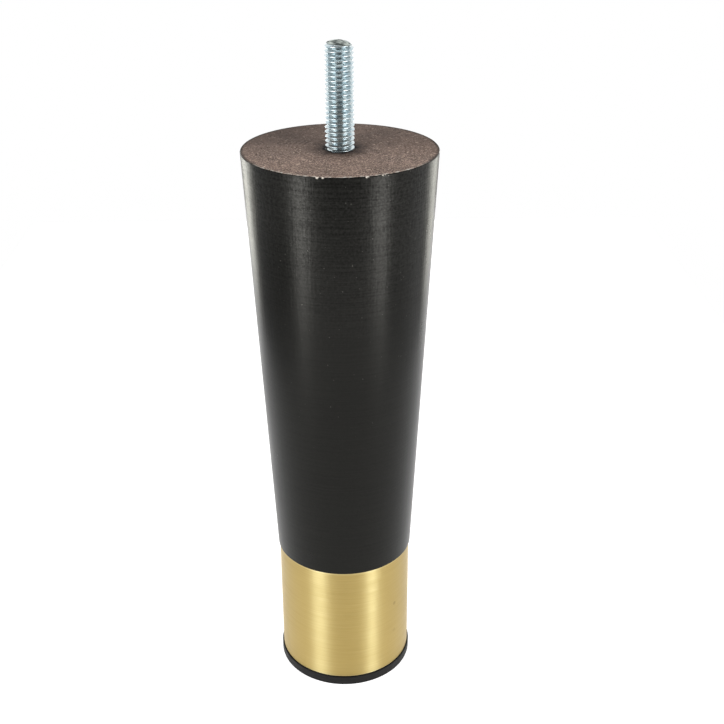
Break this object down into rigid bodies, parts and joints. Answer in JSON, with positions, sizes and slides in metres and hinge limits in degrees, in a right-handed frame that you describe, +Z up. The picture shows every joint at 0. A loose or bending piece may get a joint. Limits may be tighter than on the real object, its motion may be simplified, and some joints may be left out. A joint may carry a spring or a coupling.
{
  "type": "tapered furniture leg",
  "caption": "Turned tapered wooden furniture leg with a threaded mounting stud on top, a straight brass ferrule and a plastic glide pad below.",
  "frame": {"origin": "centre of the glide pad's underside, where the leg stands on the floor", "axes": "+Z up the leg's axis towards the threaded stud; the leg is round, so +X and +Y are any two directions across it"},
  "size_m": [0.054, 0.054, 0.1969],
  "materials": {
    "black_lacquered_wood": "black satin lacquer on the cone, bare brown end grain on the top face",
    "zinc_plated_steel": "bright zinc plate",
    "brushed_brass": "satin, brushed round the tube",
    "black_plastic": "matte moulded",
    "screw_steel": "bright zinc plate"
  },
  "bodies": {
    "root": {"leg_body": "black_lacquered_wood", "mounting_stud": "zinc_plated_steel", "ferrule": "brushed_brass", "glide_pad": "black_plastic", "glide_screw": "screw_steel"}
  },
  "joints": []
}
